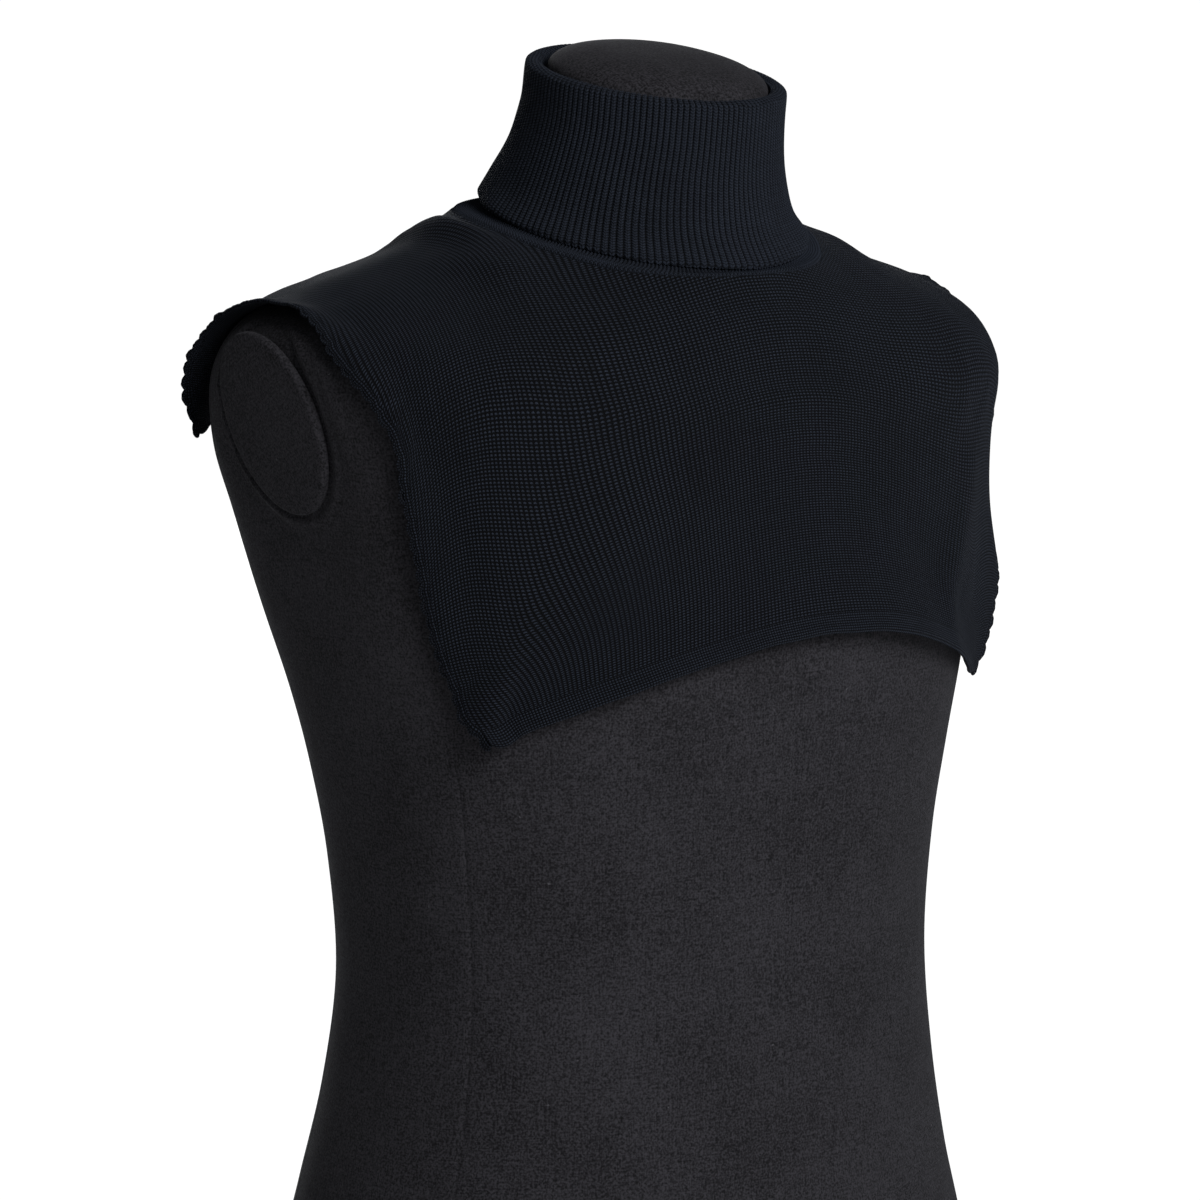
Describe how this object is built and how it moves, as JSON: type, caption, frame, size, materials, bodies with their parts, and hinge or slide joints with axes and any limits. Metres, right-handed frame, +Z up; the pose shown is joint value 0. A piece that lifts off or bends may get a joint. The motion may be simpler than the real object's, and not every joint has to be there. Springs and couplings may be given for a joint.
{
  "type": "neck warmer on dress form",
  "caption": "Fine-knit neck warmer with a rib roll collar, front flap and shorter back flap, worn on a limbless dress form that stands on its flat underside.",
  "frame": {"origin": "on the floor plane, below the centre of the model's box", "axes": "+Z up, the wearer's front towards -Y, the wearer's left towards +X"},
  "size_m": [0.427, 0.2857, 0.651],
  "materials": {
    "navy_knit": "plain fine-gauge wool knit, matt",
    "navy_rib": "1x1 rib in the same yarn, matt",
    "black_jersey": "tight black jersey over a firm form, matt",
    "black_jersey_lids": "the same jersey over smooth lids, matt"
  },
  "bodies": {
    "root": {"front_panel": "navy_knit", "back_panel": "navy_knit", "front_hem": "navy_rib", "back_hem": "navy_rib", "side_edging_right": "navy_rib", "side_edging_left": "navy_rib", "roll_collar": "navy_rib", "form_torso": "black_jersey", "form_neck_cap": "black_jersey_lids", "form_armhole_plate_right": "black_jersey_lids", "form_armhole_plate_left": "black_jersey_lids"}
  },
  "joints": []
}
